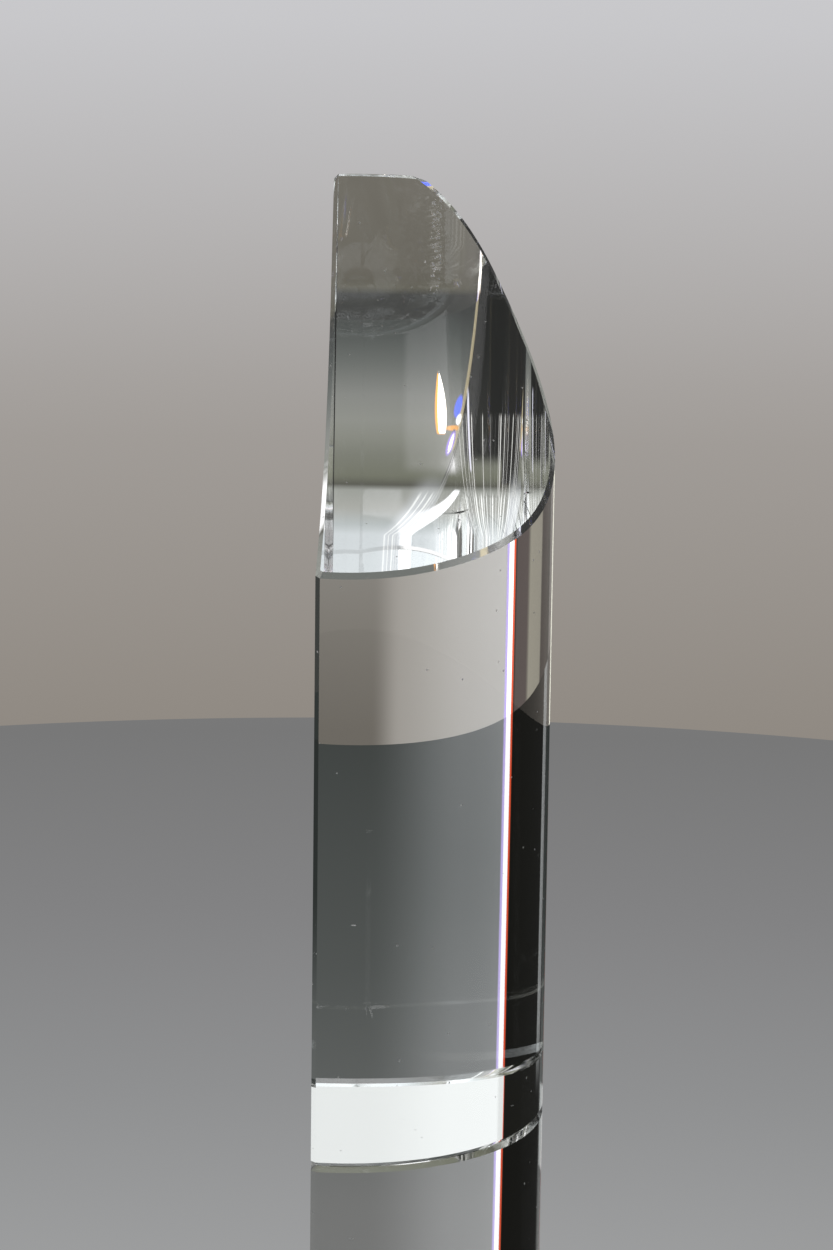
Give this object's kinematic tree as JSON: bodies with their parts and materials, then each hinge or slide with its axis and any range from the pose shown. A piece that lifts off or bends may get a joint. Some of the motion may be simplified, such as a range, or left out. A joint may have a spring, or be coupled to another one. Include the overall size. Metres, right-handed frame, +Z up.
{
  "type": "crystal award",
  "caption": "Free-standing award: an upright bar of clear crystal with a round back, a flat engraving face and a hollow sweep cut across its top.",
  "frame": {"origin": "middle of the bounding box of the base, on the surface the award stands on", "axes": "+Z up; the flat engraving face looks along -Y; the top falls from its land at the -X side to its lip at the +X side"},
  "size_m": [0.089, 0.0505, 0.2045],
  "materials": {
    "clear_crystal": "clear optical crystal, polished on every face and bevel"
  },
  "bodies": {
    "root": {"crystal_block": "clear_crystal"}
  },
  "joints": []
}
